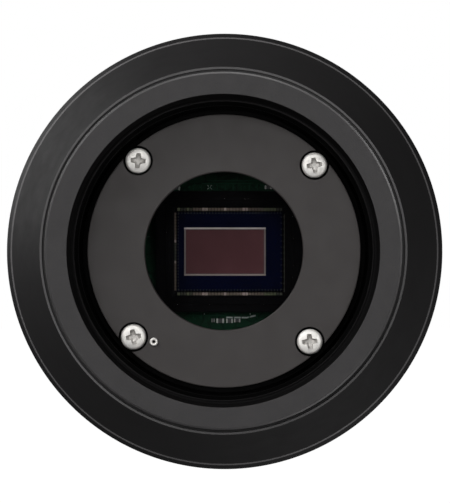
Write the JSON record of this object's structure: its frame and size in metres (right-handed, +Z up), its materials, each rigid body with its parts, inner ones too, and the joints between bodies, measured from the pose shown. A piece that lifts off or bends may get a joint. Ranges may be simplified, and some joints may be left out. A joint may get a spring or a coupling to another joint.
{
  "type": "cooled astronomy camera",
  "caption": "Round cooled astronomy camera with a threaded nose ring, windowed image sensor, cooler, vented shell, rear fan and rear sockets.",
  "frame": {"origin": "the optical axis at the plane of the nose ring's front face", "axes": "+Y runs from the nose to the rear cover along the optical axis, +Z is up and +X is to the right when the nose is seen from the front"},
  "size_m": [0.0624, 0.0799, 0.0624],
  "materials": {
    "anodised_aluminium": "satin black anodised, fine bead-blast texture",
    "turned_nose_aluminium": "satin black anodised over a lathe-turned face",
    "plate_anodised_aluminium": "matte dark grey anodised",
    "raw_aluminium": "machined",
    "zinc_steel": "bright zinc plated",
    "nickel_plate": "satin nickel plated",
    "copper_wire": "enamelled winding wire",
    "coated_glass": "polished, anti-reflection coated",
    "package_ceramic": "matte black ceramic",
    "cooler_ceramic": "matte white alumina",
    "sensor_silicon": "dark polished silicon",
    "cooler_pellets": "grey semiconductor",
    "circuit_board": "green solder mask",
    "chip_epoxy": "moulded black epoxy",
    "insulation_foam": "closed-cell foam",
    "seal_rubber": "black rubber",
    "black_plastic": "moulded",
    "blue_plastic": "moulded",
    "flex_polymer": "amber polyimide film",
    "desiccant": "pressed beige tablet"
  },
  "bodies": {
    "camera": {"front_housing": "anodised_aluminium", "rear_shell": "anodised_aluminium", "rear_cover": "anodised_aluminium", "nose_ring": "turned_nose_aluminium", "window_plate": "plate_anodised_aluminium", "cold_finger": "raw_aluminium", "heat_sink": "raw_aluminium", "plate_screw_1": "zinc_steel", "plate_screw_2": "zinc_steel", "plate_screw_3": "zinc_steel", "plate_screw_4": "zinc_steel", "board_screw_1": "zinc_steel", "board_screw_2": "zinc_steel", "board_screw_3": "zinc_steel", "board_screw_4": "zinc_steel", "sink_screw_1": "zinc_steel", "sink_screw_2": "zinc_steel", "sink_screw_3": "zinc_steel", "sink_screw_4": "zinc_steel", "rear_screw_1": "zinc_steel", "rear_screw_2": "zinc_steel", "rear_screw_3": "zinc_steel", "rear_screw_4": "zinc_steel", "fan_screw_1": "zinc_steel", "fan_screw_2": "zinc_steel", "fan_screw_3": "zinc_steel", "fan_screw_4": "zinc_steel", "shell_screw_1": "zinc_steel", "shell_screw_2": "zinc_steel", "shell_screw_3": "zinc_steel", "vent_eyelet": "zinc_steel", "dc_pin": "zinc_steel", "usb3_socket": "nickel_plate", "usb_hub_1": "nickel_plate", "usb_hub_2": "nickel_plate", "fan_coil": "copper_wire", "window_glass": "coated_glass", "sensor_cover_glass": "coated_glass", "sensor_package": "package_ceramic", "cooler_cold_plate": "cooler_ceramic", "cooler_hot_plate": "cooler_ceramic", "sensor_die": "sensor_silicon", "cooler_pellets": "cooler_pellets", "sensor_board": "circuit_board", "main_board": "circuit_board", "memory_chip": "chip_epoxy", "usb_chip": "chip_epoxy", "insulation_ring": "insulation_foam", "window_oring": "seal_rubber", "chamber_oring": "seal_rubber", "fan_frame": "black_plastic", "dc_jack": "black_plastic", "usb_hub_1_tongue": "black_plastic", "usb_hub_2_tongue": "black_plastic", "usb3_socket_tongue": "blue_plastic", "sensor_flex": "flex_polymer"},
    "fan_rotor": {"fan_rotor": "black_plastic"},
    "plug_seal": {"plug_oring": "seal_rubber"},
    "desiccant_plug": {"desiccant_plug": "anodised_aluminium", "desiccant_tablet": "desiccant"}
  },
  "joints": [
    {"name": "fan_spin", "type": "hinge", "parent": "camera", "child": "fan_rotor", "pos_m": [0, 0.0707, 0], "axis": [0, 1, 0], "continuous": true},
    {"name": "plug_travel", "type": "slide", "parent": "camera", "child": "plug_seal", "axis": [1, 0, 0], "range_m": [0, 0.006]},
    {"name": "plug_turn", "type": "hinge", "parent": "plug_seal", "child": "desiccant_plug", "pos_m": [0.0287, 0.0225, 0], "axis": [1, 0, 0], "range_deg": [0, 2160]}
  ],
  "couplings": [
    {"joint": "plug_turn", "follows": "plug_travel", "rad_per_m": 6283.2}
  ]
}
